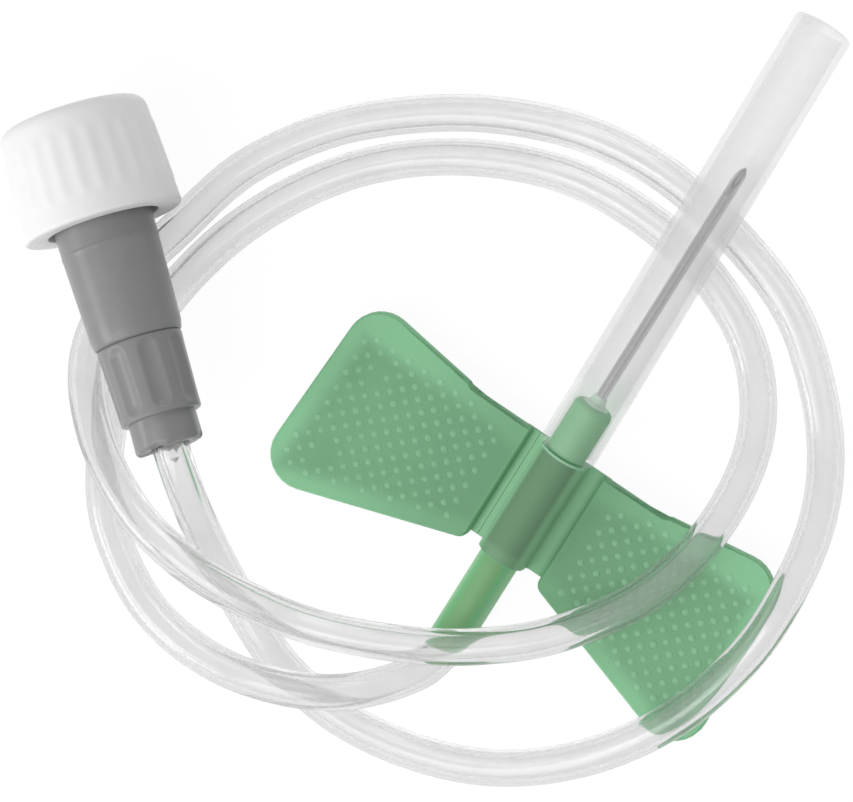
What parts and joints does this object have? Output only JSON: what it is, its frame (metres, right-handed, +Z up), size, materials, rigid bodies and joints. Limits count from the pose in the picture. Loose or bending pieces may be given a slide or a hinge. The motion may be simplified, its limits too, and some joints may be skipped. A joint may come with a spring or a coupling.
{
  "type": "butterfly needle",
  "caption": "Winged infusion needle with clear sheath, foldable soft wings, coiled clear tubing, grey female luer connector and white screw cap.",
  "frame": {"origin": "on the table under the middle of the needle, wings and sheath", "axes": "+Z up from the table, +Y from the hub toward the open end of the sheath, +X toward the right wing"},
  "size_m": [0.064, 0.0622, 0.0117],
  "materials": {
    "needle_steel": "ground and polished stainless steel",
    "bead": "clear cured adhesive",
    "green_hub": "translucent soft green vinyl",
    "green_wing": "translucent soft green vinyl with a dotted grip texture",
    "clear_sheath": "clear slightly milky plastic",
    "clear_tubing": "clear soft vinyl",
    "grey_plastic": "mid-grey moulded plastic with a satin sheen",
    "white_plastic": "white moulded plastic, satin"
  },
  "bodies": {
    "needle_and_line": {"cannula": "needle_steel", "adhesive_bead": "bead", "needle_hub": "green_hub", "winged_sleeve": "green_wing", "tubing": "clear_tubing", "luer_connector": "grey_plastic"},
    "left_wing": {"left_wing": "green_wing"},
    "sheath": {"needle_sheath": "clear_sheath"},
    "cap": {"luer_cap": "white_plastic"}
  },
  "joints": [
    {"name": "left_wing_fold", "type": "hinge", "parent": "needle_and_line", "child": "left_wing", "pos_m": [-0.0024, -0.01322, 0.0014], "axis": [0, 0.9945, 0.1045], "range_deg": [0, 85], "stiffness_Nm_per_rad": 0.0005},
    {"name": "sheath_pull", "type": "slide", "parent": "needle_and_line", "child": "sheath", "axis": [-0.0157, 0.9944, 0.1045], "range_m": [0, 0.036]},
    {"name": "cap_pull", "type": "slide", "parent": "needle_and_line", "child": "cap", "axis": [-0.7816, 0.615, -0.1045], "range_m": [0, 0.01]}
  ]
}
